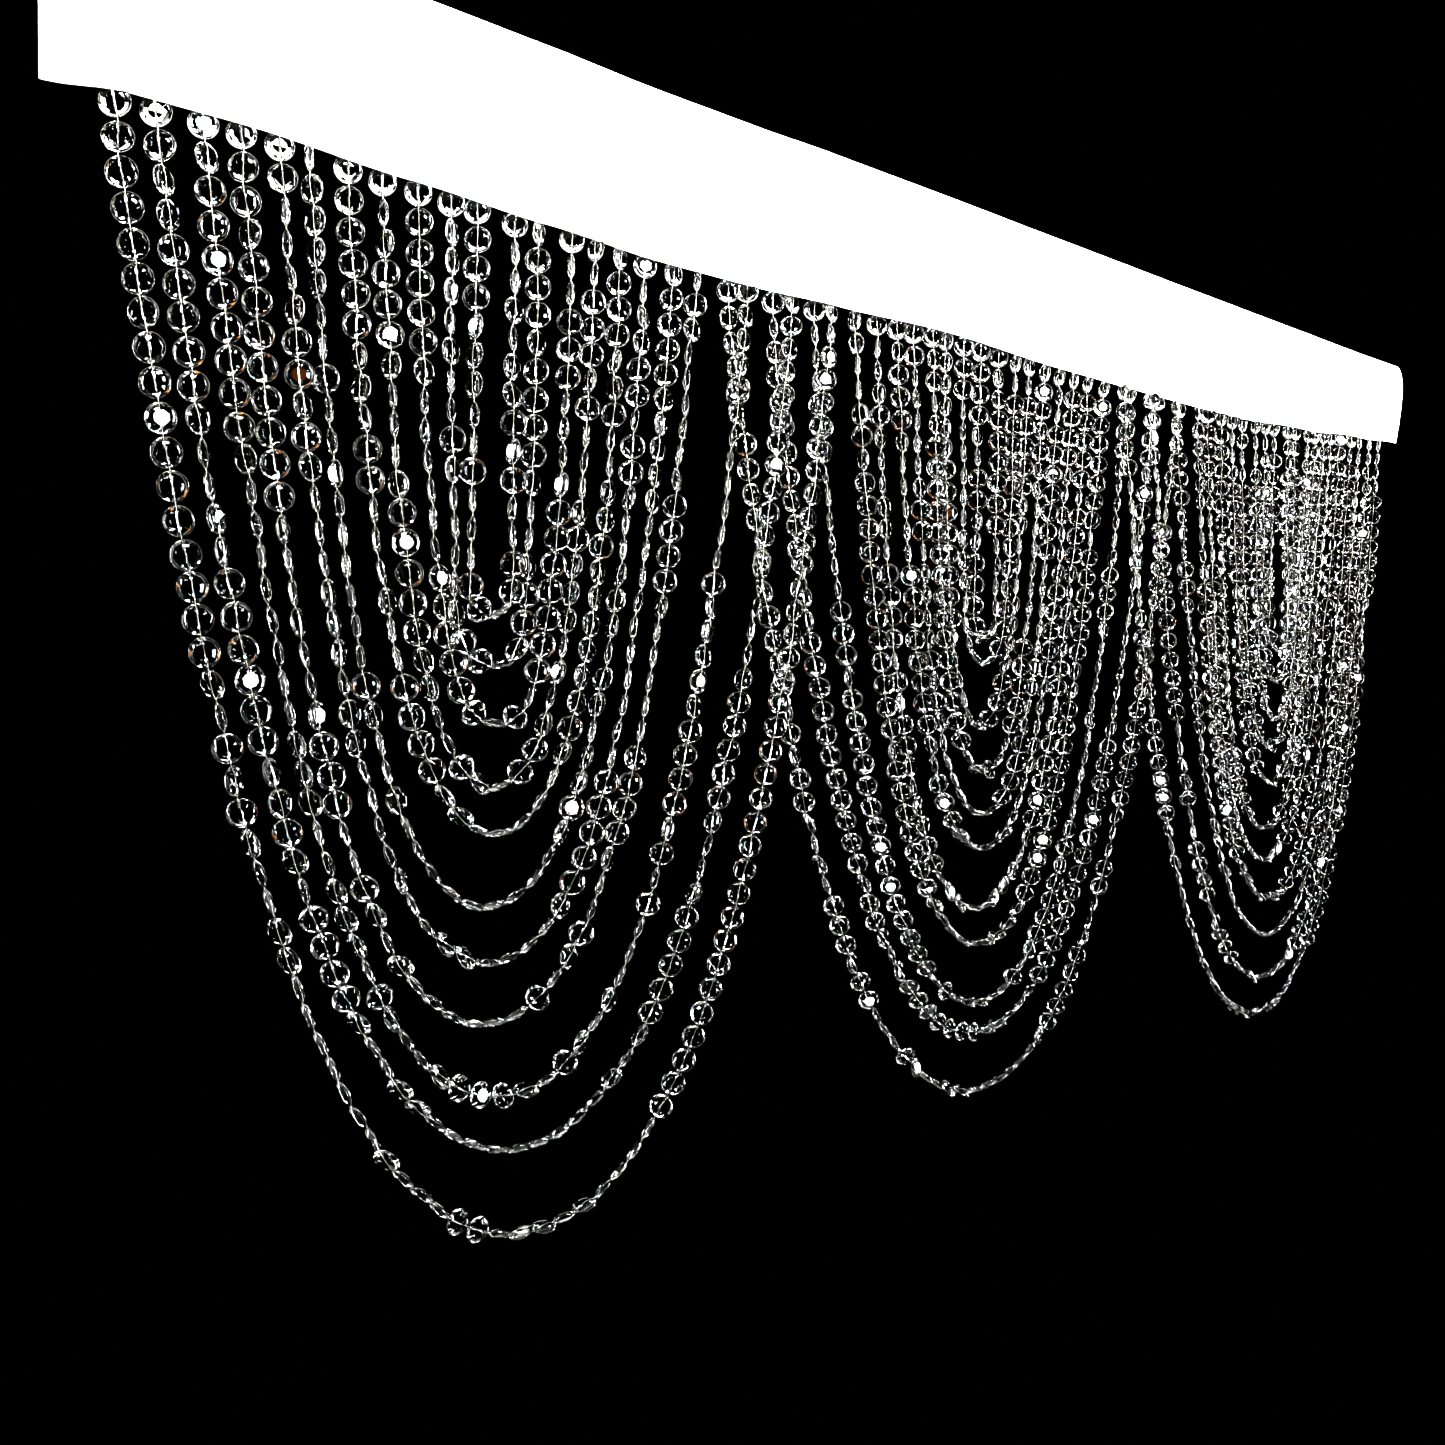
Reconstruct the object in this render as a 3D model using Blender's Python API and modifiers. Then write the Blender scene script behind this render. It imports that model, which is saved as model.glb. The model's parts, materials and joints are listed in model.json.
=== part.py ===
"""Bead curtain: a cloth header band with three groups of nested bead swags.

Metres, +Z up. The origin is at the middle of the header band's top edge, +X runs along the band
and -Y is its front. Every swag hangs as a chain of equal links between its two roots.
"""
import math

import bmesh
import bpy
import numpy as np
from mathutils import Vector

# Header band
HEADER_WIDTH = 1.830
HEADER_THICKNESS = 0.0024
HEADER_COLUMNS = 96
HEADER_ROWS = 8

# Backing strips, sewn along the band's lower edge, that hold the roots of the strings
STRIP_GAP = 0.0004
STRIP_HEIGHT = 0.003
STRIP_THICKNESS = 0.003
STRIP_DEPTH = 0.002
STRIP_MARGIN = 0.010
STRIP_COLUMN = 0.030

# Strings of beads, four-sided
STRING_RADIUS = 0.004
ROOT_RADIUS = 0.0013
CROSSING_DEPTH = 0.006
CROSSING_DROP = 0.055
CROSSING_RANK = 9
TURN_STEP = math.radians(6)
LINKS_STEP = 8

MM = 0.001

# Header sections, in mm: distance from the left end, height of the band, depth of the lower edge,
# and depth of the swell between the two edges. Negative depths are toward the front.
HEADER_SECTIONS = [
    {"along": 0, "height": 121, "edge": 1, "swell": 2},
    {"along": 50, "height": 116, "edge": 1, "swell": 1},
    {"along": 120, "height": 115, "edge": 0, "swell": -1},
    {"along": 240, "height": 120, "edge": -1, "swell": -2},
    {"along": 350, "height": 123.5, "edge": 0, "swell": 0},
    {"along": 500, "height": 127, "edge": 1, "swell": 1},
    {"along": 640, "height": 125, "edge": 0, "swell": -1},
    {"along": 810, "height": 121.5, "edge": -1, "swell": -2},
    {"along": 1020, "height": 126, "edge": 0, "swell": 1},
    {"along": 1270, "height": 126, "edge": 1, "swell": 0},
    {"along": 1375, "height": 125, "edge": 0, "swell": -1},
    {"along": 1540, "height": 118, "edge": -1, "swell": -1},
    {"along": 1700, "height": 108.5, "edge": -1, "swell": -3},
    {"along": 1830, "height": 101, "edge": 0, "swell": -7},
]

# Swags, outermost first, in mm from the header's left end: the two roots and the string's length
SWAG_COLUMNS = ("rank", "left", "right", "length", "beads")
SWAGS = {
    "swags_left": [
        (11, 39, 656, 1612, 84),
        (10, 64, 607, 1462, 77),
        (9, 93, 553, 1350, 71),
        (8, 117, 500, 1218, 64),
        (7, 143, 475, 1116, 59),
        (6, 164, 446, 1019, 54),
        (5, 191, 421, 903, 48),
        (4, 217, 397, 823, 44),
        (3, 244, 375, 726, 39),
        (2, 270, 345, 632, 34),
        (1, 291, 324, 555, 30),
    ],
    "swags_middle": [
        (11, 537, 1252, 1639, 84),
        (10, 589, 1200, 1486, 76),
        (9, 640, 1146, 1382, 73),
        (8, 690, 1092, 1231, 64),
        (7, 719, 1062, 1143, 60),
        (6, 748, 1035, 1012, 53),
        (5, 773, 1008, 930, 49),
        (4, 800, 982, 833, 44),
        (3, 820, 955, 733, 39),
        (2, 849, 932, 606, 32),
        (1, 874, 903, 553, 29),
    ],
    "swags_right": [
        (11, 1113, 1771, 1631, 84),
        (10, 1171, 1742, 1509, 77),
        (9, 1224, 1711, 1373, 71),
        (8, 1278, 1685, 1257, 65),
        (7, 1303, 1653, 1143, 60),
        (6, 1333, 1625, 1046, 55),
        (5, 1360, 1603, 919, 48),
        (4, 1387, 1580, 823, 43),
        (3, 1419, 1557, 739, 39),
        (2, 1445, 1523, 634, 34),
        (1, 1468, 1503, 559, 30),
    ],
}

# The middle group hangs behind the band's middle plane and the other two in front of it
GROUP_SIDE = {"swags_left": -1, "swags_middle": 1, "swags_right": -1}


def clear_scene():
    for obj in list(bpy.data.objects):
        bpy.data.objects.remove(obj, do_unlink=True)


def new_collection(name):
    collection = bpy.data.collections.new(name)
    bpy.context.scene.collection.children.link(collection)
    return collection


def new_material(name, color, roughness, alpha=1.0):
    material = bpy.data.materials.new(name)
    material.use_nodes = True
    shader = material.node_tree.nodes["Principled BSDF"]
    shader.inputs["Base Color"].default_value = (*color, 1)
    shader.inputs["Roughness"].default_value = roughness
    shader.inputs["Metallic"].default_value = 0.0
    shader.inputs["Alpha"].default_value = alpha
    return material


def smooth_step(value):
    """Rise from 0 to 1 with level ends."""
    t = min(max(value, 0.0), 1.0)
    return t * t * (3 - 2 * t)


def header_value(along, column):
    """A column of HEADER_SECTIONS in metres at a distance from the left end, smoothly joined."""
    place = along / MM
    for near, far in zip(HEADER_SECTIONS, HEADER_SECTIONS[1:]):
        if place <= far["along"]:
            break
    share = (place - near["along"]) / (far["along"] - near["along"])
    return MM * (near[column] + (far[column] - near[column]) * smooth_step(share))


def sheet(name, left, right, columns, rows, thickness, surface):
    """A sheet whose middle surface is surface(along, down), with down from 0 to 1."""
    shape = bmesh.new()
    bmesh.ops.create_grid(shape, x_segments=columns, y_segments=rows, size=0.5)
    for vert in shape.verts:
        along = left + (right - left) * (vert.co.x + 0.5)
        vert.co = surface(along, 0.5 - vert.co.y)
    mesh = bpy.data.meshes.new(name)
    shape.to_mesh(mesh)
    shape.free()
    mesh.shade_smooth()
    obj = bpy.data.objects.new(name, mesh)
    solidify = obj.modifiers.new("thickness", "SOLIDIFY")
    solidify.thickness = thickness
    solidify.offset = 0.0
    return obj


def header_surface(along, down):
    """The band's middle surface, with its swell fullest a third of the way down."""
    swell = math.sin(math.pi * down ** 0.63) * header_value(along, "swell")
    lean = down * down * header_value(along, "edge")
    return Vector((along - HEADER_WIDTH / 2, swell + lean, -down * header_value(along, "height")))


def strip_surface(side):
    """The middle surface of a backing strip that follows the band's lower edge."""
    def surface(along, down):
        edge = header_surface(along, 1.0)
        return edge + Vector((0, side * STRIP_DEPTH, -STRIP_GAP - STRIP_HEIGHT * down))
    return surface


def hanging_chain(start, end, length, links):
    """The joints of a chain of equal and equally heavy links that hangs between two points.

    Link k points along (pull, tilt + k). The tilt is found for the rise and the pull for the span.
    """
    span, rise = end.x - start.x, end.z - start.z
    link = length / links
    order = np.arange(links)

    def directions(pull, tilt):
        size = np.hypot(pull, tilt + order)
        return pull / size, (tilt + order) / size

    def tilt_for(pull):
        low, high = -2.0 * links, 1.0 * links
        for _ in range(50):
            middle = (low + high) / 2
            if link * directions(pull, middle)[1].sum() < rise:
                low = middle
            else:
                high = middle
        return (low + high) / 2

    weak, strong = 1e-4, 4.0 * links
    for _ in range(50):
        pull = (weak + strong) / 2
        if link * directions(pull, tilt_for(pull))[0].sum() < span:
            weak = pull
        else:
            strong = pull
    across, up = directions(pull, tilt_for(pull))
    across = start.x + link * np.concatenate([[0], np.cumsum(across)])
    up = start.z + link * np.concatenate([[0], np.cumsum(up)])
    depth = np.linspace(start.y, end.y, links + 1)
    return [Vector(point) for point in zip(across, depth, up)]


def string_route(swag, side):
    """The joints of one string of beads, eased away from the strings that it crosses."""
    surface = strip_surface(side)
    start, end = (surface(swag[root] * MM, 0.5) for root in ("left", "right"))
    route = hanging_chain(start, end, swag["length"] * MM, swag["beads"])
    if swag["rank"] >= CROSSING_RANK:
        for point in route:
            drop = max(start.z, end.z) - point.z
            point.y += side * (CROSSING_DEPTH - STRIP_DEPTH) * smooth_step(drop / CROSSING_DROP)
    return route


def thinned(route):
    """The route without the joints where it hardly turns. The joints next to the roots stay."""
    kept = [0, 1]
    turned = 0.0
    for k in range(2, len(route) - 2):
        turned += (route[k] - route[k - 1]).angle(route[k + 1] - route[k])
        if turned > TURN_STEP or k - kept[-1] >= LINKS_STEP:
            kept.append(k)
            turned = 0.0
    return [route[k] for k in kept + [len(route) - 2, len(route) - 1]]


def strings_mesh(name, routes):
    """Four-sided strings along the routes as one mesh of closed bodies, thin at the roots."""
    curve = bpy.data.curves.new(name, "CURVE")
    curve.dimensions = "3D"
    curve.bevel_depth = STRING_RADIUS
    curve.bevel_resolution = 0
    curve.use_fill_caps = True
    for route in routes:
        spline = curve.splines.new("POLY")
        spline.points.add(len(route) - 1)
        for point, place in zip(spline.points, route):
            point.co = (*place, 1)
        spline.points[0].radius = ROOT_RADIUS / STRING_RADIUS
        spline.points[-1].radius = ROOT_RADIUS / STRING_RADIUS
    guide = bpy.data.objects.new(name + "_guide", curve)
    bpy.context.scene.collection.objects.link(guide)
    depsgraph = bpy.context.evaluated_depsgraph_get()
    mesh = bpy.data.meshes.new_from_object(guide.evaluated_get(depsgraph))
    shape = bmesh.new()
    shape.from_mesh(mesh)
    bmesh.ops.remove_doubles(shape, verts=shape.verts, dist=1e-6)
    bmesh.ops.recalc_face_normals(shape, faces=shape.faces)
    shape.to_mesh(mesh)
    shape.free()
    bpy.data.objects.remove(guide, do_unlink=True)
    strings = bpy.data.objects.new(name + "_strings", mesh)
    strings.hide_render = True
    strings.display_type = "WIRE"
    return strings


def swag_group(name, parts, cutters, material):
    """One group of swags: its strings fused at their roots into a narrow backing strip."""
    side = GROUP_SIDE[name]
    swags = [dict(zip(SWAG_COLUMNS, row)) for row in SWAGS[name]]
    left = min(swag["left"] for swag in swags) * MM - STRIP_MARGIN
    right = max(swag["right"] for swag in swags) * MM + STRIP_MARGIN
    columns = math.ceil((right - left) / STRIP_COLUMN)
    strip = sheet(name, left, right, columns, 1, STRIP_THICKNESS, strip_surface(side))
    strip.data.materials.append(material)
    parts.objects.link(strip)
    strings = strings_mesh(name, [thinned(string_route(swag, side)) for swag in swags])
    cutters.objects.link(strings)
    union = strip.modifiers.new("strings", "BOOLEAN")
    union.operation = "UNION"
    union.solver = "EXACT"
    union.object = strings


def header_band(parts, material):
    band = sheet("header_band", 0.0, HEADER_WIDTH, HEADER_COLUMNS, HEADER_ROWS,
                 HEADER_THICKNESS, header_surface)
    band.data.materials.append(material)
    parts.objects.link(band)


def main():
    clear_scene()
    parts = new_collection("bead_curtain")
    cutters = new_collection("cutters")
    header_band(parts, new_material("white_cloth", (0.90, 0.90, 0.89), 0.85))
    for name in SWAGS:
        clear = new_material(name + "_clear_beads", (0.92, 0.95, 0.96), 0.05, alpha=0.4)
        swag_group(name, parts, cutters, clear)


main()
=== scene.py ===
"""Bead curtain: the cloth header band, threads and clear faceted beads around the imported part.

Metres, +Z up. The origin is at the middle of the band's top edge, +X runs along the band and -Y is
its front. Distances along the band are from its left end.
"""
import json
import math

import bmesh
import bpy
import numpy as np
from mathutils import Matrix, Vector

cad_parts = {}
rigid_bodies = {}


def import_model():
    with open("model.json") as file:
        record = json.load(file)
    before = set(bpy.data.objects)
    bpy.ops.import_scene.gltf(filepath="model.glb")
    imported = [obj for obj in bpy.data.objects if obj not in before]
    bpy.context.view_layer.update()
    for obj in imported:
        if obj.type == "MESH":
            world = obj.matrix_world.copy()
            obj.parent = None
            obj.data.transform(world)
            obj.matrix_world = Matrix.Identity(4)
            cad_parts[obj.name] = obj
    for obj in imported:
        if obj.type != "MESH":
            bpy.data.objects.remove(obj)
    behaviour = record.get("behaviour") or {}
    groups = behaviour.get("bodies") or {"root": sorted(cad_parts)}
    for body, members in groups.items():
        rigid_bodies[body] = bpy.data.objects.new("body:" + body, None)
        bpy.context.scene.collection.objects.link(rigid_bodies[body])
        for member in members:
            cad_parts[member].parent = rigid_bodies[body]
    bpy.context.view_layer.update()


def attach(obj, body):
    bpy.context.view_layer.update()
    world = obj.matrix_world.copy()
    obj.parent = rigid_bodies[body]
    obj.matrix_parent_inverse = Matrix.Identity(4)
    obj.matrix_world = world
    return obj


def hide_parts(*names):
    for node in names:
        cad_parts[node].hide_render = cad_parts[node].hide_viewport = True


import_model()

MM = 0.001

# Camera
CAMERA_PLACE = (-1.29846, -0.88073, -0.44457)
CAMERA_YAW = math.radians(46.183)
CAMERA_PITCH = math.radians(-1.077)
CAMERA_ROLL = math.radians(0.655)
CAMERA_LENS = 40.914
SENSOR_WIDTH = 36.0

# Header band
HEADER_WIDTH = 1.830
HEADER_COLUMNS = 610
HEADER_ROWS = 40
CLOTH_THICKNESS = 0.0022

# Header sections, in mm: distance from the left end, height of the band, sag of its top edge, depth
# of the lower edge, and depth of the swell between the two. Negative depths are toward the front.
HEADER_SECTIONS = [
    {"along": 0, "height": 120, "sag": 0, "edge": 1, "swell": 2},
    {"along": 50, "height": 115, "sag": 0, "edge": -2, "swell": 1},
    {"along": 120, "height": 115, "sag": 0, "edge": -3, "swell": -1},
    {"along": 240, "height": 120, "sag": 0.4, "edge": -4, "swell": -2},
    {"along": 350, "height": 123.5, "sag": 0.8, "edge": -3, "swell": 0},
    {"along": 460, "height": 126, "sag": 2.5, "edge": -2.5, "swell": 1},
    {"along": 560, "height": 126, "sag": 2.2, "edge": -2.5, "swell": 0},
    {"along": 660, "height": 124.5, "sag": 0.8, "edge": -3, "swell": -1},
    {"along": 810, "height": 121.5, "sag": 0.4, "edge": -4, "swell": -2},
    {"along": 1020, "height": 126, "sag": 0.5, "edge": -3, "swell": 1},
    {"along": 1270, "height": 126, "sag": 0.9, "edge": -2, "swell": 0},
    {"along": 1375, "height": 125, "sag": 1.0, "edge": -3, "swell": -1},
    {"along": 1540, "height": 118, "sag": 1.0, "edge": -4, "swell": -1},
    {"along": 1700, "height": 108.5, "sag": 1.2, "edge": -4, "swell": -3},
    {"along": 1830, "height": 101, "sag": 0.4, "edge": 0, "swell": -7},
]

# Soft creases of the cloth, in mm: the two ends as distance along and distance below the top edge,
# the width of the trough, and its depth, negative for a ridge
CREASES = [
    {"from": (925, 4), "to": (1000, 13), "width": 4.0, "depth": 0.9},
    {"from": (940, 14), "to": (1010, 24), "width": 4.0, "depth": 0.6},
    {"from": (150, 10), "to": (210, 60), "width": 16.0, "depth": 0.8},
    {"from": (560, 95), "to": (660, 40), "width": 18.0, "depth": -0.8},
    {"from": (1290, 20), "to": (1360, 75), "width": 16.0, "depth": 0.8},
    {"from": (1690, 80), "to": (1815, 30), "width": 14.0, "depth": 1.0},
]

# Swags, outermost first, in mm from the header's left end: the two roots and the string's length
SWAG_COLUMNS = ("rank", "left", "right", "length", "beads")
SWAGS = {
    "swags_left": [
        (11, 39, 656, 1612, 84),
        (10, 64, 607, 1462, 77),
        (9, 93, 553, 1350, 71),
        (8, 117, 500, 1218, 64),
        (7, 143, 475, 1116, 59),
        (6, 164, 446, 1019, 54),
        (5, 191, 421, 903, 48),
        (4, 217, 397, 823, 44),
        (3, 244, 375, 729, 39),
        (2, 270, 345, 641, 34),
        (1, 291, 324, 564, 30),
    ],
    "swags_middle": [
        (11, 537, 1252, 1639, 84),
        (10, 589, 1200, 1486, 76),
        (9, 640, 1146, 1382, 73),
        (8, 690, 1092, 1231, 64),
        (7, 719, 1062, 1143, 60),
        (6, 748, 1035, 1012, 53),
        (5, 773, 1008, 930, 49),
        (4, 800, 982, 833, 44),
        (3, 820, 955, 733, 39),
        (2, 849, 932, 611, 32),
        (1, 874, 903, 553, 29),
    ],
    "swags_right": [
        (11, 1113, 1771, 1631, 84),
        (10, 1171, 1742, 1509, 77),
        (9, 1224, 1711, 1373, 71),
        (8, 1278, 1685, 1257, 65),
        (7, 1303, 1653, 1143, 60),
        (6, 1333, 1625, 1046, 55),
        (5, 1360, 1603, 919, 48),
        (4, 1387, 1580, 815, 43),
        (3, 1419, 1557, 732, 39),
        (2, 1445, 1523, 634, 34),
        (1, 1468, 1503, 559, 30),
    ],
}

# The middle group hangs behind the band's middle plane and the other two in front of it
GROUP_SIDE = {"swags_left": -1, "swags_middle": 1, "swags_right": -1}

# The outer groups' legs at the curtain's two ends cross nothing and hang in their own plane
FREE_LEG = {"swags_left": "left", "swags_middle": None, "swags_right": "right"}
FREE_SHARE = 0.30

# How far the legs of the inner swags hang off their own plane near the bottom, in mm along the band
# and in depth, negative toward the front, and the sharpest bend between two of its beads in degrees
LEG_COLUMNS = ("rank", "left_along", "left_depth", "right_along", "right_depth", "bend")
LEGS = {
    "swags_left": [
        (8, 0, -2, 0, -2, 41),
        (7, 0, 0, 0, -5, 41),
        (6, -7, 0, 4, -9, 41),
        (5, -6, -1, 10, -9, 41),
        (4, -7, -1, 6, -6, 41),
        (3, -2, 0, 4, -3, 36),
        (2, -1, 0, 0, 0, 41),
        (1, 1, 0, -3, 0, 56),
    ],
    "swags_middle": [
        (8, 0, 2, 0, 3, 41),
        (7, 0, 9, 0, 2, 41),
        (6, 0, 2, 0, 2, 41),
        (5, 0, 4, 0, 0, 41),
        (4, 0, 2, 0, 0, 41),
        (3, 0, 8, 0, 0, 60),
        (2, 0, 5, 0, 0, 41),
        (1, 0, 2, 0, 0, 70),
    ],
    "swags_right": [
        (8, 0, 3, 0, 2, 41),
        (7, 0, 8, 0, 6, 41),
        (6, 0, 10, 0, 9, 41),
        (5, 0, 3, 0, 4, 41),
        (4, 0, 8, 0, 3, 41),
        (3, 0, 4, 0, 1, 41),
        (2, 0, 5, 0, 0, 41),
        (1, 0, 0, 0, 0, 41),
    ],
}
LOOSE_BEND = 41

# How the beads of each string stand, from its left root on: runs of beads face-on to the camera (F),
# half turned (H) and edge-on (E)
BEAD_RUNS = {
    "swags_left": {
        11: "17F H E F H F H 2E 2H 7E H 3E 2F E 2H E H 4E 21F 2H 2F H 6F H E H",
        10: "2F 2H 5F H 2E 2H 6F 2H F H E 4F H 2E 2H 9E H E H 5F H 2E H 5F H 5E H 6F 2H F H",
        9: "F H 8F H 8E 3H 2E 3H E F H 2E H 3F H E F H E H 3E F E F H 4F 5H F 6E H F 3H F",
        8: "3F H 8F H 2E H 2E H 3F 2E F H E H 6E F E H F 2E H 4F 5E H 4F 6E H F E",
        7: "2F 3E H 2F H F H 3E 3H E 2H 4E H 2E 2H 4E H 5F 10E 5H 4F H",
        6: "E 4H 2E F 2E H 6E F H 2E H 9E H F 2H E 2H E 3H 2E H 2F E 2F 2H E F",
        5: "6F 3H 2F 3E H 2E 4F 2H 5E H F 6H F 2H 2E F 2H 3F H",
        4: "F E H 3F H 3E H 5F 2H 2E F H E 2F H E H E 3H F H 3E F H 3F E H",
        3: "6F H 6E 2H 4F E F E 7F H 3E 3F 2E F",
        2: "F 5H 2E F H 4E H 2F E H 2F H 2E H 4F H 3F H",
        1: "4F 3H 2E F 3E 2F E 2F 2E F H F 2H E H 2E F",
    },
    "swags_middle": {
        11: "2F 2H F E 3F H 2E H 2F H F H F H 2F H E H E 3F H 2F 3E F H 2E 2H 6E H 5F H 2E 2F 2E H "
            "9F H E H 4F 2E 5H",
        10: "F E H 8F E 2H 11F H 2F H E H 7F 2H 3E 14F H 8E 3H 2F H 4F",
        9: "F 2E H 2F H 6E 3F H 15F E F E 2H 2E F E H 4F H F H 5E H 4E H 3F H 4E H 3F H",
        8: "2H 2E H F H 12F H 7F H 4E 4H 11F 2H 6F E 7F H",
        7: "F 2E H F H 2E 2H E 4F E F H 2F H E 2H 2F E 2H 2E 3H E H 4F 2H E 2F 3H E H 3F E 5F H",
        6: "F H 3F H 5E 8F H E 3F H 3E 2H 2E 2H 2E H 5F H 2E H E H 4F H",
        5: "2F 5E H 2F E 2H E H F H F H 7E 4F H E 2H 5E 7F 2E H",
        4: "F 2H E H 15F E H F 2E 5F 7E 2H F H 2F H",
        3: "6H 8F H 4E H 3F 4H 3E 2H 5F E H",
        2: "3F 6E 3H 5E 3F 3H 7F E H",
        1: "4F H E 2F 2H 4F H 3E H E 6F 2H F",
    },
    "swags_right": {
        11: "H 2F H F 4E H 2E H 2F H 2E 6F H E H 10E 4H E 2H 5E 7F E 8F H 2F 2H 2E H 7F H 3E",
        10: "F 3H 3E 11F 2E 2H F 2E 4F E H 3F 2E H 2E H E H 3F H F 2H F 2H F 2H 9F 2H 5F 4H 2E",
        9: "3H 3F 2H E 2F H 2E 5H E H 3E 2H E H 13E 4F H F H E H 12F H F H 2E H 3E",
        8: "E 5H 3E H 17F 2H 2E 3H 9F 2E 2H E 3H E H E 9F E H",
        7: "3F 2H 4E 2F E 2F H 9F 5E 3H 2F 2H 2F H 3F E 3H 6F E 7F",
        6: "H 6F 8H 4E H 4F H 3E H F 2H F 3H F H 2F H 12E 2H",
        5: "H 2E H 6F 3H 9F 2E H F 2H F H F H 14F 2H",
        4: "2H 2E 6F 3H 4F H F H E F H 2F 2H E 13F 2H",
        3: "H 2E H 7F H 4F 2H 2E 2H F H 10F 3H E H",
        2: "H E 2H 7F H F H 2F 2E 2F H 2F 2H 6F 3H",
        1: "H E F H 3F 2E 3H 2F 2E 3F 2H 6F E 2H",
    },
}

# Roots of the strings: depth of the backing strip, drop of its middle below the band's lower edge,
# and how far the thread runs up past that middle
STRIP_DEPTH = 0.002
ROOT_DROP = 0.0019
ROOT_RISE = 0.0055

# Strings of this rank and further out cross the next group's, at this depth from the middle plane,
# which they reach over this drop
CROSSING_RANK = 9
CROSSING_DEPTH = 0.006
CROSSING_DROP = 0.040

# The tops of the strings start at this depth behind the band's middle plane, shifted along the
# camera's line of sight, and ease out of the shift over a drop, shorter for the strings that cross
TOP_DEPTH = 0.0022
TOP_EASE = 0.200
CROSSING_EASE = 0.060

# Threads: the unevenness of their joints, and their section
JOINT_PLAY = 0.0006
THREAD_RADIUS = 0.00028
THREAD_SIDES = 7

# Beads, in mm: the rows of facets from the flat table out to the rim, each with the radius and
# height of a point that it passes through. Faces past RIM_INSIDE are the moulded rim.
BEAD_RADIUS = 9.0
BEAD_HALF = 2.6
BEAD_SIDES = 32
BORE_RADIUS = 0.8
BORE_SIDES = 8
FACET_ROWS = [
    {"count": 8, "turn": 0.0, "through": (4.4, 2.6), "tilt": 17.0},
    {"count": 16, "turn": 0.5, "through": (8.68, 0.42), "tilt": 34.0},
    {"count": 32, "turn": 0.5, "through": (9.0, 0.10), "tilt": 46.0},
]
RIM_INSIDE = 8.68
SHARP_EDGE = math.radians(13)
OUTER_STRINGS = 4
SEED = 11

# Turns of the beads away from the camera, in degrees, and how much they vary. Beads of two groups
# that would cut into each other are turned to within FLAT_TURN of the curtain's own plane.
STANCES = {"F": (0, 9), "H": (52, 7), "E": (84, 5)}
FLAT_TURN = math.radians(10)

# Tall strip lights in a ring round the curtain, all but the dark side that the camera looks to:
# degrees from the camera's own side, brightness of the face, width in metres and tint
STRIP_COLUMNS = ("turn", "glow", "width", "color")
STRIPS = [
    (-120, 16, 0.22, (0.98, 0.98, 1)),
    (-80, 16, 0.16, (0.96, 0.98, 1)),
    (-24, 20, 0.20, (0.86, 0.94, 1)),
    (52, 18, 0.16, (0.99, 0.99, 1)),
    (96, 16, 0.18, (0.94, 0.97, 1)),
]
STRIP_LIGHT_HEIGHT = 2.4
STRIP_LIGHT_DISTANCE = 3.0
STRIP_LIGHT_LEVEL = -0.35

# Narrow light panels behind the band for the beads, which add no diffuse light to any surface
HALO_COUNT = 26
HALO_DEPTH = 0.06
HALO_LEVEL = -0.050
HALO_HEIGHT = 0.098
HALO_SHARE = 0.55
HALO_GLOW = 2.4

# Exposure and floor
EXPOSURE = 1.3
GAMMA = 0.58
FLOOR_RADIUS = 0.95
FLOOR_LEVEL = -2.3

# Soft boxes: glow is the brightness of their face
SOFT_BOXES = [
    {"name": "key", "place": (-1.6, -2.2, 1.2), "target": (0, 0, -0.1), "size": (0.9, 0.5),
     "glow": 24, "color": (0.99, 0.99, 1)},
    {"name": "high_box", "place": (1.2, 1.6, 2.2), "target": (0, 0, -0.4), "size": (1.8, 0.22),
     "glow": 22, "color": (1, 1, 1)},
    {"name": "low_box", "place": (-0.9, -1.0, -2.0), "target": (0, 0, -0.4), "size": (1.8, 0.18),
     "glow": 18, "color": (1, 1, 1)},
    {"name": "warm_lamp", "place": (-2.1, -1.7, -0.4), "target": (0, 0, -0.4), "size": (0.12, 0.2),
     "glow": 1.2, "color": (1, 0.42, 0.10)},
]


def smooth_step(value):
    """Rise from 0 to 1 with level ends."""
    t = min(max(value, 0.0), 1.0)
    return t * t * (3 - 2 * t)


def header_value(along, column):
    """A column of HEADER_SECTIONS in metres at a distance from the left end, smoothly joined."""
    place = along / MM
    for near, far in zip(HEADER_SECTIONS, HEADER_SECTIONS[1:]):
        if place <= far["along"]:
            break
    share = (place - near["along"]) / (far["along"] - near["along"])
    return MM * (near[column] + (far[column] - near[column]) * smooth_step(share))


def header_surface(along, down):
    """The band's middle surface, with its swell fullest a third of the way down."""
    swell = math.sin(math.pi * down ** 0.63) * header_value(along, "swell")
    lean = down * down * header_value(along, "edge")
    fall = header_value(along, "sag") + down * header_value(along, "height")
    return Vector((along - HEADER_WIDTH / 2, swell + lean, -fall))


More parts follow.
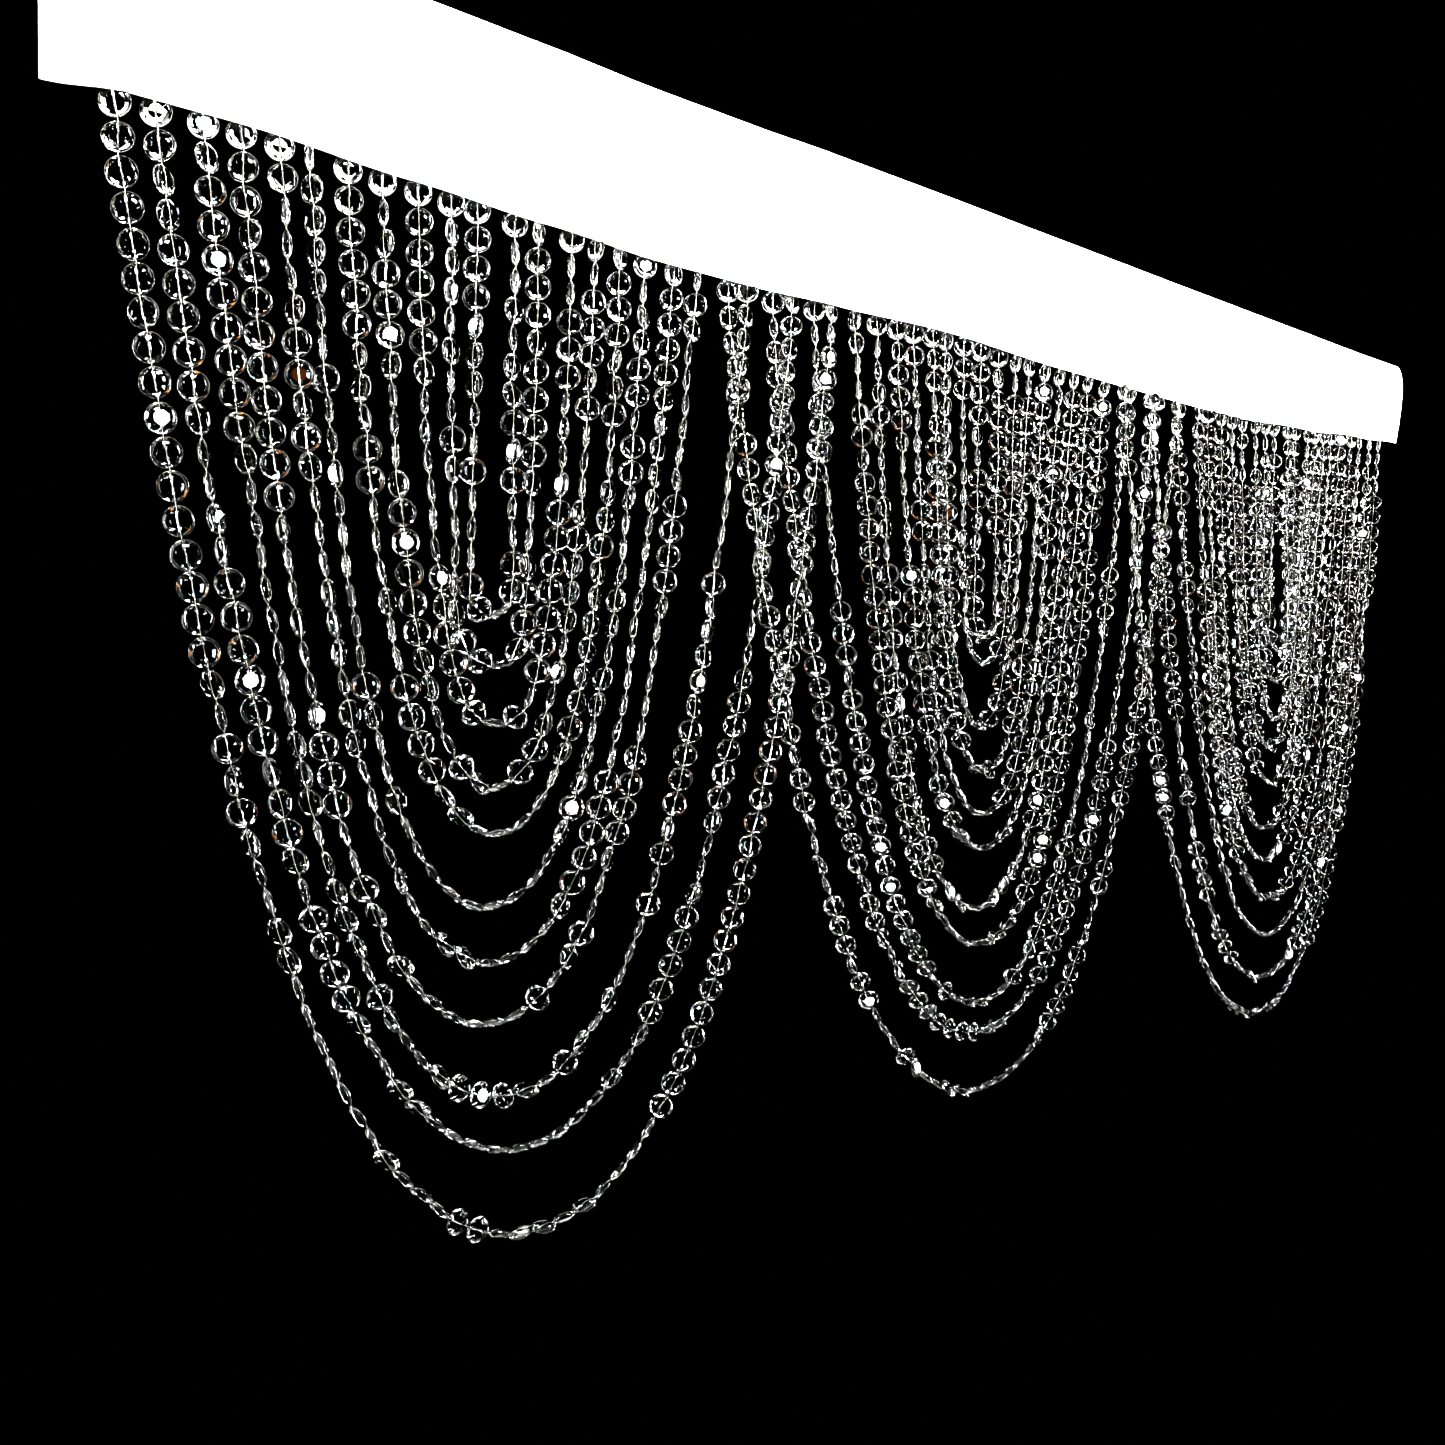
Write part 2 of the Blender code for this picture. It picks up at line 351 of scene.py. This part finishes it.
def hanging_chain(start, end, length, links, bend):
    """The joints of a chain of equal and equally heavy links that hangs between two points.

    Link k points along (pull, tilt + k), but touching beads keep it from turning by more than the
    bend from link to link, which spreads a narrow swag. The tilt is found for the rise and the pull
    for the span.
    """
    span, rise = end.x - start.x, end.z - start.z
    link = length / links
    order = np.arange(links)

    def directions(pull, tilt):
        steps = tilt + order
        climb = np.minimum(np.arctan2(np.abs(steps), pull), bend * np.abs(steps))
        return np.cos(climb), np.sign(steps) * np.sin(climb)

    def tilt_for(pull):
        low, high = -2.0 * links, 1.0 * links
        for _ in range(50):
            middle = (low + high) / 2
            if link * directions(pull, middle)[1].sum() < rise:
                low = middle
            else:
                high = middle
        return (low + high) / 2

    weak, strong = -1.0 * links, 4.0 * links
    for _ in range(50):
        pull = (weak + strong) / 2
        if link * directions(pull, tilt_for(pull))[0].sum() < span:
            weak = pull
        else:
            strong = pull
    across, up = directions(pull, tilt_for(pull))
    across = start.x + link * np.concatenate([[0], np.cumsum(across)])
    up = start.z + link * np.concatenate([[0], np.cumsum(up)])
    depth = np.linspace(start.y, end.y, links + 1)
    return [Vector(point) for point in zip(across, depth, up)]


def leg_sway(leg, share, fall):
    """How far a string hangs off its plane, at a share of its length and of its fall."""
    right = smooth_step(share)
    along = leg["left_along"] + (leg["right_along"] - leg["left_along"]) * right
    depth = leg["left_depth"] + (leg["right_depth"] - leg["left_depth"]) * right
    return Vector((along, depth, 0)) * MM * fall


def crossing_share(share, free_leg):
    """How much of the crossing's depth a string has at a share of its length."""
    if free_leg == "left":
        return smooth_step(share / FREE_SHARE)
    if free_leg == "right":
        return smooth_step((1 - share) / FREE_SHARE)
    return 1.0


def string_route(swag, side, leg, free_leg):
    """The joints of one thread. Each link between two joints carries a bead."""
    start, end = (
        Vector((swag[root] * MM - HEADER_WIDTH / 2, side * STRIP_DEPTH,
                header_surface(swag[root] * MM, 1.0).z + ROOT_RISE - ROOT_DROP))
        for root in ("left", "right")
    )
    length = swag["length"] * MM + 2 * ROOT_RISE
    bend = math.radians(leg["bend"] if leg else LOOSE_BEND)
    route = hanging_chain(start, end, length, swag["beads"], bend)
    lowest = min(point.z for point in route)
    for k, point in enumerate(route):
        drop = max(start.z, end.z) - point.z
        if leg:
            point += leg_sway(leg, k / swag["beads"], drop / (start.z - lowest))
        ease = TOP_EASE
        if swag["rank"] >= CROSSING_RANK:
            ease = CROSSING_EASE
            crossing = smooth_step(drop / CROSSING_DROP) * crossing_share(k / swag["beads"], free_leg)
            point.y += side * (CROSSING_DEPTH - STRIP_DEPTH) * crossing
        sight = point - Vector(CAMERA_PLACE)
        tuck = (TOP_DEPTH - point.y) * (1 - smooth_step(drop / ease))
        point += sight * (tuck / sight.y)
    return route


def make_camera():
    data = bpy.data.cameras.new("camera")
    data.lens = CAMERA_LENS
    data.sensor_width = SENSOR_WIDTH
    data.clip_start = 0.05
    data.clip_end = 50
    camera = bpy.data.objects.new("camera", data)
    forward = Vector((
        math.sin(CAMERA_YAW) * math.cos(CAMERA_PITCH),
        math.cos(CAMERA_YAW) * math.cos(CAMERA_PITCH),
        math.sin(CAMERA_PITCH),
    ))
    level = forward.cross(Vector((0, 0, 1))).normalized()
    upright = level.cross(forward)
    right = math.cos(CAMERA_ROLL) * level + math.sin(CAMERA_ROLL) * upright
    up = math.cos(CAMERA_ROLL) * upright - math.sin(CAMERA_ROLL) * level
    turn = Matrix((right, up, -forward)).transposed()
    camera.matrix_world = Matrix.Translation(CAMERA_PLACE) @ turn.to_4x4()
    bpy.context.scene.collection.objects.link(camera)
    bpy.context.scene.camera = camera


def new_material(name):
    material = bpy.data.materials.new(name)
    material.use_nodes = True
    return material, material.node_tree.nodes, material.node_tree.links


def cloth_material():
    """Plain white cotton: an even weave, soft tone changes and no gloss."""
    material, nodes, links = new_material("header_cloth")
    shader = nodes["Principled BSDF"]
    shader.inputs["Roughness"].default_value = 0.88
    shader.inputs["Specular IOR Level"].default_value = 0.25
    shader.inputs["Sheen Weight"].default_value = 0.12
    shader.inputs["Sheen Roughness"].default_value = 0.5
    place = nodes.new("ShaderNodeTexCoord")
    warp = nodes.new("ShaderNodeTexWave")
    warp.bands_direction = "X"
    warp.inputs["Scale"].default_value = 320
    warp.inputs["Distortion"].default_value = 0.6
    weft = nodes.new("ShaderNodeTexWave")
    weft.bands_direction = "Z"
    weft.inputs["Scale"].default_value = 320
    weft.inputs["Distortion"].default_value = 0.6
    weave = nodes.new("ShaderNodeMath")
    weave.operation = "MAXIMUM"
    slub = nodes.new("ShaderNodeTexNoise")
    slub.inputs["Scale"].default_value = 90
    slub.inputs["Detail"].default_value = 6
    blend = nodes.new("ShaderNodeMath")
    blend.operation = "MULTIPLY_ADD"
    blend.inputs[1].default_value = 0.5
    bump = nodes.new("ShaderNodeBump")
    bump.inputs["Strength"].default_value = 0.5
    bump.inputs["Distance"].default_value = 0.0003
    tone = nodes.new("ShaderNodeTexNoise")
    tone.inputs["Scale"].default_value = 9
    tone.inputs["Detail"].default_value = 5
    ramp = nodes.new("ShaderNodeValToRGB")
    ramp.color_ramp.elements[0].position = 0.35
    ramp.color_ramp.elements[0].color = (0.90, 0.89, 0.86, 1)
    ramp.color_ramp.elements[1].position = 0.65
    ramp.color_ramp.elements[1].color = (0.95, 0.945, 0.93, 1)
    for texture in (warp, weft, slub, tone):
        links.new(place.outputs["Object"], texture.inputs["Vector"])
    links.new(warp.outputs["Fac"], weave.inputs[0])
    links.new(weft.outputs["Fac"], weave.inputs[1])
    links.new(slub.outputs["Fac"], blend.inputs[0])
    links.new(weave.outputs[0], blend.inputs[2])
    links.new(blend.outputs[0], bump.inputs["Height"])
    links.new(bump.outputs["Normal"], shader.inputs["Normal"])
    links.new(tone.outputs["Fac"], ramp.inputs["Fac"])
    links.new(ramp.outputs["Color"], shader.inputs["Base Color"])
    return material


def thread_material():
    """Pale twisted thread: slanting plies and fine fuzz."""
    material, nodes, links = new_material("pale_thread")
    shader = nodes["Principled BSDF"]
    shader.inputs["Roughness"].default_value = 0.75
    shader.inputs["Sheen Weight"].default_value = 0.2
    place = nodes.new("ShaderNodeTexCoord")
    ply = nodes.new("ShaderNodeTexWave")
    ply.bands_direction = "DIAGONAL"
    ply.inputs["Scale"].default_value = 420
    ply.inputs["Distortion"].default_value = 1.0
    bump = nodes.new("ShaderNodeBump")
    bump.inputs["Strength"].default_value = 0.6
    bump.inputs["Distance"].default_value = 0.0002
    ramp = nodes.new("ShaderNodeValToRGB")
    ramp.color_ramp.elements[0].color = (0.08, 0.078, 0.06, 1)
    ramp.color_ramp.elements[1].color = (0.20, 0.195, 0.16, 1)
    links.new(place.outputs["Object"], ply.inputs["Vector"])
    links.new(ply.outputs["Fac"], bump.inputs["Height"])
    links.new(bump.outputs["Normal"], shader.inputs["Normal"])
    links.new(ply.outputs["Fac"], ramp.inputs["Fac"])
    links.new(ramp.outputs["Color"], shader.inputs["Base Color"])
    return material


def bead_material():
    """Clear moulded acrylic with faint moulding waves and handling haze."""
    material, nodes, links = new_material("clear_acrylic")
    shader = nodes["Principled BSDF"]
    shader.inputs["IOR"].default_value = 1.49
    shader.inputs["Transmission Weight"].default_value = 1.0
    place = nodes.new("ShaderNodeTexCoord")
    wave = nodes.new("ShaderNodeTexNoise")
    wave.inputs["Scale"].default_value = 90
    wave.inputs["Detail"].default_value = 2
    bump = nodes.new("ShaderNodeBump")
    bump.inputs["Strength"].default_value = 0.10
    bump.inputs["Distance"].default_value = 0.0004
    haze = nodes.new("ShaderNodeTexNoise")
    haze.inputs["Scale"].default_value = 60
    rough = nodes.new("ShaderNodeMapRange")
    rough.inputs["To Min"].default_value = 0.0
    rough.inputs["To Max"].default_value = 0.012
    tint = nodes.new("ShaderNodeTexNoise")
    tint.inputs["Scale"].default_value = 25
    ramp = nodes.new("ShaderNodeValToRGB")
    ramp.color_ramp.elements[0].position = 0.35
    ramp.color_ramp.elements[0].color = (0.99, 0.98, 0.96, 1)
    ramp.color_ramp.elements[1].position = 0.65
    ramp.color_ramp.elements[1].color = (0.95, 0.98, 1.0, 1)
    for texture in (wave, haze, tint):
        links.new(place.outputs["Object"], texture.inputs["Vector"])
    links.new(wave.outputs["Fac"], bump.inputs["Height"])
    links.new(bump.outputs["Normal"], shader.inputs["Normal"])
    links.new(haze.outputs["Fac"], rough.inputs["Value"])
    links.new(rough.outputs["Result"], shader.inputs["Roughness"])
    links.new(tint.outputs["Fac"], ramp.inputs["Fac"])
    links.new(ramp.outputs["Color"], shader.inputs["Base Color"])
    return material


def rim_material():
    """The bead's moulded rim: the same acrylic, a little frosted along its seam."""
    material, nodes, links = new_material("frosted_rim")
    shader = nodes["Principled BSDF"]
    shader.inputs["IOR"].default_value = 1.49
    shader.inputs["Transmission Weight"].default_value = 0.97
    place = nodes.new("ShaderNodeTexCoord")
    frost = nodes.new("ShaderNodeTexNoise")
    frost.inputs["Scale"].default_value = 300
    frost.inputs["Detail"].default_value = 4
    rough = nodes.new("ShaderNodeMapRange")
    rough.inputs["To Min"].default_value = 0.03
    rough.inputs["To Max"].default_value = 0.15
    bump = nodes.new("ShaderNodeBump")
    bump.inputs["Strength"].default_value = 0.3
    bump.inputs["Distance"].default_value = 0.0002
    ramp = nodes.new("ShaderNodeValToRGB")
    ramp.color_ramp.elements[0].color = (0.92, 0.90, 0.80, 1)
    ramp.color_ramp.elements[1].color = (0.95, 0.96, 0.95, 1)
    links.new(place.outputs["Object"], frost.inputs["Vector"])
    links.new(frost.outputs["Fac"], rough.inputs["Value"])
    links.new(rough.outputs["Result"], shader.inputs["Roughness"])
    links.new(frost.outputs["Fac"], bump.inputs["Height"])
    links.new(bump.outputs["Normal"], shader.inputs["Normal"])
    links.new(frost.outputs["Fac"], ramp.inputs["Fac"])
    links.new(ramp.outputs["Color"], shader.inputs["Base Color"])
    return material


def floor_material():
    material, nodes, links = new_material("pale_floor")
    shader = nodes["Principled BSDF"]
    shader.inputs["Roughness"].default_value = 0.9
    grain = nodes.new("ShaderNodeTexNoise")
    grain.inputs["Scale"].default_value = 12
    ramp = nodes.new("ShaderNodeValToRGB")
    ramp.color_ramp.elements[0].color = (0.70, 0.69, 0.67, 1)
    ramp.color_ramp.elements[1].color = (0.76, 0.75, 0.73, 1)
    links.new(grain.outputs["Fac"], ramp.inputs["Fac"])
    links.new(ramp.outputs["Color"], shader.inputs["Base Color"])
    return material


def crease_depth(along, fall):
    """How far the creases push the cloth at a point, in metres, from its place in mm."""
    depth = 0.0
    point = Vector((along, fall))
    for crease in CREASES:
        start, end = Vector(crease["from"]), Vector(crease["to"])
        line = end - start
        share = (point - start).dot(line) / line.length_squared
        off = point - start - line * min(max(share, 0.0), 1.0)
        ends = math.sin(math.pi * min(max(share, 0.0), 1.0))
        depth += crease["depth"] * MM * ends * math.exp(-(off.length / crease["width"]) ** 2)
    return depth


def cloth_ripple(along, fall):
    """The unevenness of hand-hung cloth, in metres, from a place in mm."""
    slow = math.sin(along / 61 + 1.3 * math.sin(along / 149)) * math.sin(fall / 37 + along / 233)
    fine = math.sin(along / 17.3 + math.sin(fall / 21)) * math.sin(fall / 13.1 + along / 71)
    return MM * (0.35 * slow + 0.08 * fine)


def header_piece(material):
    """The header band as a thin sheet with its creases, and a rounded edge all round."""
    shape = bmesh.new()
    bmesh.ops.create_grid(shape, x_segments=HEADER_COLUMNS, y_segments=HEADER_ROWS, size=0.5)
    for vert in shape.verts:
        along = HEADER_WIDTH * (vert.co.x + 0.5)
        down = 0.5 - vert.co.y
        point = header_surface(along, down)
        fall = down * header_value(along, "height") / MM
        free = smooth_step(fall / 12)
        point.y += free * cloth_ripple(along / MM, fall) + crease_depth(along / MM, fall)
        vert.co = point
    mesh = bpy.data.meshes.new("header")
    shape.to_mesh(mesh)
    shape.free()
    mesh.shade_smooth()
    mesh.materials.append(material)
    header = bpy.data.objects.new("header", mesh)
    bpy.context.scene.collection.objects.link(header)
    thickness = header.modifiers.new("thickness", "SOLIDIFY")
    thickness.thickness = CLOTH_THICKNESS
    thickness.offset = 0.0
    rounding = header.modifiers.new("rounding", "BEVEL")
    rounding.width = CLOTH_THICKNESS * 0.3
    rounding.segments = 2
    rounding.angle_limit = math.radians(50)
    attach(header, "root")
    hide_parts("header_band")
    return header


def bead_template():
    """One bead in mm: a disc cut by facet planes on both faces and drilled along its local Z."""
    shape = bmesh.new()
    bmesh.ops.create_cone(
        shape, cap_ends=True, segments=BEAD_SIDES, radius1=BEAD_RADIUS, radius2=BEAD_RADIUS,
        depth=2 * BEAD_HALF, matrix=Matrix.Rotation(math.radians(90), 4, "X"))
    for face in (-1, 1):
        for row in FACET_ROWS:
            tilt = math.radians(row["tilt"])
            radius, height = row["through"]
            for k in range(row["count"]):
                turn = 2 * math.pi * (k + row["turn"]) / row["count"]
                out = Vector((math.cos(turn), 0, math.sin(turn)))
                normal = math.sin(tilt) * out + Vector((0, face * math.cos(tilt), 0))
                point = radius * out + Vector((0, face * height, 0))
                whole = shape.verts[:] + shape.edges[:] + shape.faces[:]
                cut = bmesh.ops.bisect_plane(
                    shape, geom=whole, plane_co=point, plane_no=normal, clear_outer=True)
                rim = [e for e in cut["geom_cut"] if isinstance(e, bmesh.types.BMEdge)]
                if rim:
                    bmesh.ops.contextual_create(shape, geom=rim)
    bmesh.ops.remove_doubles(shape, verts=shape.verts, dist=1e-4)
    bmesh.ops.recalc_face_normals(shape, faces=shape.faces)
    mesh = bpy.data.meshes.new("bead")
    shape.to_mesh(mesh)
    shape.free()
    bead = bpy.data.objects.new("bead", mesh)
    bore_shape = bmesh.new()
    bmesh.ops.create_cone(
        bore_shape, cap_ends=True, segments=BORE_SIDES, radius1=BORE_RADIUS, radius2=BORE_RADIUS,
        depth=3 * BEAD_RADIUS)
    bore_mesh = bpy.data.meshes.new("bore")
    bore_shape.to_mesh(bore_mesh)
    bore_shape.free()
    bore = bpy.data.objects.new("bore", bore_mesh)
    scene_objects = bpy.context.scene.collection.objects
    scene_objects.link(bead)
    scene_objects.link(bore)
    drill = bead.modifiers.new("drill", "BOOLEAN")
    drill.operation = "DIFFERENCE"
    drill.solver = "EXACT"
    drill.object = bore
    depsgraph = bpy.context.evaluated_depsgraph_get()
    drilled = bpy.data.meshes.new_from_object(bead.evaluated_get(depsgraph))
    bpy.data.objects.remove(bead, do_unlink=True)
    bpy.data.objects.remove(bore, do_unlink=True)
    return drilled


def mesh_arrays(mesh):
    """The points, face corners, faces' numbers of corners and rim faces of a bead."""
    verts = np.empty(len(mesh.vertices) * 3)
    mesh.vertices.foreach_get("co", verts)
    corners = np.empty(len(mesh.loops), dtype=np.int64)
    mesh.loops.foreach_get("vertex_index", corners)
    sizes = np.empty(len(mesh.polygons), dtype=np.int64)
    mesh.polygons.foreach_get("loop_total", sizes)
    rims = np.array([math.hypot(p.center.x, p.center.z) > RIM_INSIDE for p in mesh.polygons])
    return verts.reshape(-1, 3), corners, sizes, rims


def joined_mesh(name, verts, corners, sizes):
    """A mesh from one array of points, one of corners and one of the faces' numbers of corners."""
    mesh = bpy.data.meshes.new(name)
    mesh.vertices.add(len(verts))
    mesh.vertices.foreach_set("co", np.asarray(verts, dtype=np.float32).ravel())
    mesh.loops.add(len(corners))
    mesh.loops.foreach_set("vertex_index", np.asarray(corners, dtype=np.int32))
    mesh.polygons.add(len(sizes))
    starts = np.concatenate([[0], np.cumsum(sizes)[:-1]])
    mesh.polygons.foreach_set("loop_start", starts.astype(np.int32))
    mesh.update(calc_edges=True)
    mesh.validate()
    return mesh


def bead_stances(runs, chance):
    """The beads' turns away from the camera, from the written runs."""
    stances, way = [], 1
    for run in runs.split():
        middle, spread = STANCES[run[-1]]
        for _ in range(int(run[:-1] or 1)):
            stances.append(math.radians(way * middle + chance.normal(0, spread)))
        if run[-1] == "F":
            way = chance.choice([-1, 1])
    return stances


def string_beads(route, stances):
    """The centre, thread direction and turn about the thread of each bead on a string."""
    if len(stances) != len(route) - 1:
        raise ValueError("a string's runs don't count as many beads as the string has")
    beads = []
    for near, far, stance in zip(route, route[1:], stances):
        along = (far - near).normalized()
        if along.z > 0:
            along = -along
        centre = (near + far) / 2
        flat = along.cross(Vector((0, 1, 0))).normalized()
        sight = centre - Vector(CAMERA_PLACE)
        turn = math.atan2(sight.dot(flat), sight.dot(flat.cross(along))) + stance
        beads.append({"centre": centre, "along": along, "flat": flat, "turn": turn})
    return beads


def bead_axes(bead):
    """The bead's axes: its thread along Z and its face along Y."""
    along, flat = bead["along"], bead["flat"]
    face = math.cos(bead["turn"]) * flat.cross(along) + math.sin(bead["turn"]) * flat
    return np.array([face.cross(along), face, along])


def rim_enters(bead, other):
    """Whether the rim of one bead passes into another bead."""
    around = 2 * math.pi * np.arange(BEAD_SIDES) / BEAD_SIDES
    rim = BEAD_RADIUS * np.stack([np.cos(around), 0 * around, np.sin(around)], axis=1)
    shift = np.array(bead["centre"] - other["centre"]) / MM
    inside = (shift + rim @ bead_axes(bead)) @ bead_axes(other).T
    off_thread = np.hypot(inside[:, 0], inside[:, 2])
    return ((off_thread < BEAD_RADIUS) & (np.abs(inside[:, 1]) < BEAD_HALF)).any()


def flatten_crossings(group, others):
    """Turn flat to the curtain the beads that cut into another group's beads."""
    centres = np.array([other["centre"] for other in others])
    for bead in group:
        near = np.linalg.norm(centres - np.array(bead["centre"]), axis=1) < 2 * BEAD_RADIUS * MM
        for other in [others[k] for k in np.flatnonzero(near)]:
            if rim_enters(bead, other) or rim_enters(other, bead):
                for turned in (bead, other):
                    turned["turn"] = math.copysign(min(abs(turned["turn"]), FLAT_TURN), turned["turn"])


def beads_piece(name, places, template, materials, node):
    """The beads at the given places as one joined mesh."""
    verts, corners, sizes, rims = template
    points = [np.array(bead["centre"]) + MM * verts @ bead_axes(bead) for bead in places]
    shifts = len(verts) * np.arange(len(places))
    mesh = joined_mesh(
        name, np.concatenate(points), (corners[None, :] + shifts[:, None]).ravel(),
        np.tile(sizes, len(places)))
    mesh.shade_smooth()
    mesh.set_sharp_from_angle(angle=SHARP_EDGE)
    for material in materials:
        mesh.materials.append(material)
    mesh.polygons.foreach_set("material_index", np.tile(rims, len(places)).astype(np.int32))
    beads = bpy.data.objects.new(name, mesh)
    beads.visible_shadow = False
    bpy.context.scene.collection.objects.link(beads)
    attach(beads, "root")
    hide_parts(node)


def threads_piece(name, routes, material, node):
    """The threads of one group as tubes that bend between the beads."""
    verts, corners = [], []
    around = 2 * math.pi * np.arange(THREAD_SIDES) / THREAD_SIDES
    for route in routes:
        first = len(verts)
        for k, point in enumerate(route):
            near, far = route[max(k - 1, 0)], route[min(k + 1, len(route) - 1)]
            along = (far - near).normalized()
            across = along.cross(Vector((0, 1, 0))).normalized()
            front = across.cross(along)
            verts += [point + THREAD_RADIUS * (math.cos(a) * across + math.sin(a) * front)
                      for a in around]
        for k in range(len(route) - 1):
            ring = first + k * THREAD_SIDES
            for s in range(THREAD_SIDES):
                t = (s + 1) % THREAD_SIDES
                corners += [(ring + s, ring + t, ring + THREAD_SIDES + t, ring + THREAD_SIDES + s)]
        last = first + (len(route) - 1) * THREAD_SIDES
        corners.append(tuple(first + s for s in reversed(range(THREAD_SIDES))))
        corners.append(tuple(last + s for s in range(THREAD_SIDES)))
    mesh = bpy.data.meshes.new(name)
    mesh.from_pydata([tuple(v) for v in verts], [], corners)
    mesh.shade_smooth()
    mesh.materials.append(material)
    threads = bpy.data.objects.new(name, mesh)
    bpy.context.scene.collection.objects.link(threads)
    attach(threads, "root")
    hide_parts(node)


def soft_light(name, place, target, size, glow, color):
    """A soft box at a place that faces a target and that the camera itself doesn't see."""
    data = bpy.data.lights.new(name, "AREA")
    data.shape = "RECTANGLE"
    data.size, data.size_y = size
    data.energy = glow * math.pi * size[0] * size[1]
    data.color = color
    light = bpy.data.objects.new(name, data)
    light.location = place
    light.rotation_euler = (Vector(target) - Vector(place)).to_track_quat("-Z", "Y").to_euler()
    light.visible_camera = False
    bpy.context.scene.collection.objects.link(light)
    return light


def make_studio():
    """A dark studio with soft boxes, and a pale floor below."""
    world = bpy.data.worlds.new("studio")
    world.use_nodes = True
    backdrop = world.node_tree.nodes["Background"]
    backdrop.inputs["Color"].default_value = (0, 0, 0, 1)
    bpy.context.scene.world = world
    view = bpy.context.scene.view_settings
    view.view_transform = "Standard"
    view.exposure = EXPOSURE
    view.gamma = GAMMA
    shape = bmesh.new()
    bmesh.ops.create_circle(shape, cap_ends=True, segments=64, radius=FLOOR_RADIUS)
    mesh = bpy.data.meshes.new("floor")
    shape.to_mesh(mesh)
    shape.free()
    mesh.materials.append(floor_material())
    floor = bpy.data.objects.new("floor", mesh)
    floor.location = (0, 0, FLOOR_LEVEL)
    bpy.context.scene.collection.objects.link(floor)
    for box in SOFT_BOXES:
        soft_light(**box)
    for strip in (dict(zip(STRIP_COLUMNS, row)) for row in STRIPS):
        way = CAMERA_YAW + math.pi + math.radians(strip["turn"])
        place = (math.sin(way) * STRIP_LIGHT_DISTANCE, math.cos(way) * STRIP_LIGHT_DISTANCE,
                 STRIP_LIGHT_LEVEL)
        soft_light("strip", place, (0, 0, STRIP_LIGHT_LEVEL), (strip["width"], STRIP_LIGHT_HEIGHT),
                   strip["glow"], strip["color"])
    wash = soft_light("header_wash", (-0.2, -1.8, 1.0), (0, 0, -0.05), (2.6, 0.3), 24, (1, 1, 1))
    wash.data.spread = math.radians(24)
    wash.visible_glossy = False
    wash.visible_transmission = False
    for k in range(HALO_COUNT):
        across = HEADER_WIDTH * ((k + 0.5) / HALO_COUNT - 0.5)
        halo = soft_light(
            "header_halo", (across, HALO_DEPTH, HALO_LEVEL), (across, 0, HALO_LEVEL),
            (HEADER_WIDTH / HALO_COUNT * HALO_SHARE, HALO_HEIGHT), HALO_GLOW, (1, 1, 1))
        halo.visible_diffuse = False


def main():
    make_camera()
    thread, bead_look = thread_material(), (bead_material(), rim_material())
    header = header_piece(cloth_material())
    template = mesh_arrays(bead_template())
    chance = np.random.RandomState(SEED)
    routes, beads = {}, {}
    for node, rows in SWAGS.items():
        swags = [dict(zip(SWAG_COLUMNS, row)) for row in rows]
        legs = {row[0]: dict(zip(LEG_COLUMNS, row)) for row in LEGS[node]}
        routes[node] = [
            string_route(swag, GROUP_SIDE[node], legs.get(swag["rank"]), FREE_LEG[node]) for swag in swags
        ]
        for route in routes[node]:
            for point in route[1:-1]:
                point += JOINT_PLAY * Vector(chance.normal(0, 1, 3))
        beads[node] = [
            string_beads(route, bead_stances(BEAD_RUNS[node][swag["rank"]], chance))
            for swag, route in zip(swags, routes[node])
        ]
    group_beads = {node: [bead for string in beads[node] for bead in string] for node in beads}
    flatten_crossings(group_beads["swags_middle"], group_beads["swags_left"])
    flatten_crossings(group_beads["swags_middle"], group_beads["swags_right"])
    for node in SWAGS:
        group = node.split("_")[1]
        threads_piece("threads_" + group, routes[node], thread, node)
        parts = (("outer", beads[node][:OUTER_STRINGS]), ("inner", beads[node][OUTER_STRINGS:]))
        for part, strings in parts:
            places = [bead for string in strings for bead in string]
            beads_piece("beads_" + group + "_" + part, places, template, bead_look, node)
    make_studio()


main()
